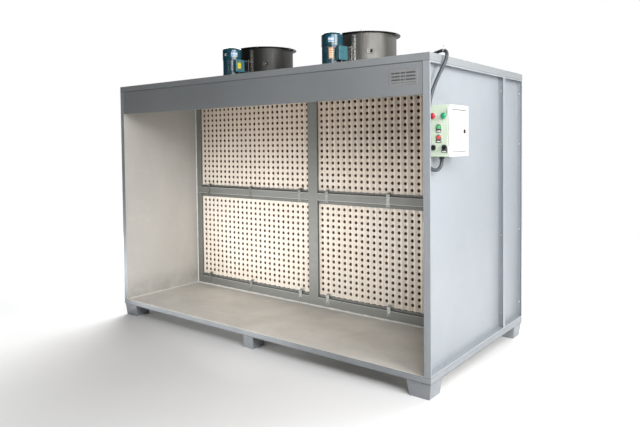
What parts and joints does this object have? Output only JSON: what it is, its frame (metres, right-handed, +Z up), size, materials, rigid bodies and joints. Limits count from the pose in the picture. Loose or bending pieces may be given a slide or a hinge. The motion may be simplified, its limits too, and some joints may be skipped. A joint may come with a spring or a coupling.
{
  "type": "spray booth",
  "caption": "Open-fronted dry-filter spray booth: sheet-metal cabinet with a pleated filter wall, roof-mounted belt-driven extract fans and a side control box.",
  "frame": {"origin": "middle of the whole object's bounding box, on the ground under the feet", "axes": "+Z up, +Y from the open front to the rear, +X to the right of a person facing the open front"},
  "size_m": [3.71, 1.8067, 2.877],
  "materials": {
    "side_panel": "semi-gloss powder coat",
    "roof_panel": "semi-gloss powder coat",
    "header": "semi-gloss powder coat",
    "base_steel": "semi-gloss paint",
    "galvanised_sheet": "galvanised, dull",
    "nameplate": "brushed",
    "filter_frame": "matt paint",
    "filter_card": "plain card",
    "zinc_fastener": "zinc plated",
    "bearing_steel": "ground",
    "fan_metal": "satin gunmetal paint",
    "impeller_alloy": "cast",
    "shaft_steel": "turned",
    "belt_rubber": "matt",
    "motor_teal": "gloss machine enamel",
    "terminal_teal": "satin",
    "box_green": "fine-textured powder coat",
    "box_door": "fine-textured powder coat",
    "lock_black": "satin",
    "device_plastic": "matt moulded",
    "button_red": "gloss",
    "button_green": "gloss",
    "knob_black": "gloss",
    "bezel": "satin chrome",
    "conduit": "satin, faintly ribbed",
    "fitting": "satin"
  },
  "bodies": {
    "booth": {"base_rails": "base_steel", "floor_pan": "galvanised_sheet", "feet": "base_steel", "side_panel_right_front": "side_panel", "side_panel_right_rear": "side_panel", "side_panel_left_front": "side_panel", "side_panel_left_rear": "side_panel", "rear_panels": "side_panel", "roof_panel_left": "roof_panel", "roof_panel_middle": "roof_panel", "roof_panel_right": "roof_panel", "header_panel": "header", "nameplate": "nameplate", "filter_frame": "filter_frame", "filter_upper_left": "filter_card", "filter_upper_right": "filter_card", "filter_lower_left": "filter_card", "filter_lower_right": "filter_card", "filter_clips": "galvanised_sheet", "panel_bolts": "zinc_fastener", "sheet_metal_screws": "zinc_fastener", "fan_bolts": "zinc_fastener", "bearing_spiders": "fan_metal", "bearings": "bearing_steel", "control_box": "box_green", "door_hinge_pins": "zinc_fastener", "switchgear": "device_plastic", "control_bezels": "bezel", "conduit_main": "conduit", "conduit_left": "conduit", "conduit_right": "conduit", "conduit_fittings": "fitting", "fan_casing_left": "fan_metal", "drive_belt_left": "belt_rubber", "belt_guard_left": "fan_metal", "motor_mount_left": "fan_metal", "motor_frame_left": "motor_teal", "motor_cowl_left": "motor_teal", "terminal_box_left": "terminal_teal", "fan_casing_right": "fan_metal", "drive_belt_right": "belt_rubber", "belt_guard_right": "fan_metal", "motor_mount_right": "fan_metal", "motor_frame_right": "motor_teal", "motor_cowl_right": "motor_teal", "terminal_box_right": "terminal_teal"},
    "impeller_assembly_left": {"impeller_left": "impeller_alloy", "fan_shaft_left": "shaft_steel"},
    "motor_armature_left": {"motor_rotor_left": "shaft_steel"},
    "impeller_assembly_right": {"impeller_right": "impeller_alloy", "fan_shaft_right": "shaft_steel"},
    "motor_armature_right": {"motor_rotor_right": "shaft_steel"},
    "box_door": {"control_box_door": "box_door"},
    "door_lock": {"door_lock": "lock_black"},
    "start_button": {"start_button": "button_green"},
    "stop_button": {"stop_button": "button_red"},
    "red_mushroom": {"red_mushroom": "button_red"},
    "green_mushroom": {"green_mushroom": "button_green"},
    "selector_left": {"selector_left": "knob_black"},
    "selector_right": {"selector_right": "knob_black"}
  },
  "joints": [
    {"name": "impeller_left_spin", "type": "hinge", "parent": "booth", "child": "impeller_assembly_left", "pos_m": [-1.066, 0.5, 2.6], "axis": [0, 0, 1], "continuous": true},
    {"name": "motor_left_spin", "type": "hinge", "parent": "booth", "child": "motor_armature_left", "pos_m": [-1.14727, 0.03911, 2.6], "axis": [0, 0, 1], "continuous": true},
    {"name": "impeller_right_spin", "type": "hinge", "parent": "booth", "child": "impeller_assembly_right", "pos_m": [0.306, 0.5, 2.6], "axis": [0, 0, 1], "continuous": true},
    {"name": "motor_right_spin", "type": "hinge", "parent": "booth", "child": "motor_armature_right", "pos_m": [0.22473, 0.03911, 2.6], "axis": [0, 0, 1], "continuous": true},
    {"name": "box_door_hinge", "type": "hinge", "parent": "booth", "child": "box_door", "pos_m": [1.8405, -0.8245, 1.867], "axis": [0, 0, -1], "range_deg": [0, 120]},
    {"name": "door_lock_turn", "type": "hinge", "parent": "box_door", "child": "door_lock", "pos_m": [1.845, -0.575, 1.864], "axis": [-1, 0, 0], "range_deg": [0, 90]},
    {"name": "start_button_press", "type": "slide", "parent": "booth", "child": "start_button", "axis": [0, 1, 0], "range_m": [0, 0.004], "stiffness_N_per_m": 400},
    {"name": "stop_button_press", "type": "slide", "parent": "booth", "child": "stop_button", "axis": [0, 1, 0], "range_m": [0, 0.004], "stiffness_N_per_m": 400},
    {"name": "red_mushroom_press", "type": "slide", "parent": "booth", "child": "red_mushroom", "axis": [0, 1, 0], "range_m": [0, 0.006], "stiffness_N_per_m": 500},
    {"name": "green_mushroom_press", "type": "slide", "parent": "booth", "child": "green_mushroom", "axis": [0, 1, 0], "range_m": [0, 0.006], "stiffness_N_per_m": 500},
    {"name": "selector_left_turn", "type": "hinge", "parent": "booth", "child": "selector_left", "pos_m": [1.731, -0.835, 1.752], "axis": [0, 1, 0], "range_deg": [-45, 45]},
    {"name": "selector_right_turn", "type": "hinge", "parent": "booth", "child": "selector_right", "pos_m": [1.812, -0.835, 1.752], "axis": [0, 1, 0], "range_deg": [-45, 45]}
  ],
  "couplings": [
    {"joint": "motor_left_spin", "follows": "impeller_left_spin", "ratio": 1.25},
    {"joint": "motor_right_spin", "follows": "impeller_right_spin", "ratio": 1.25}
  ]
}
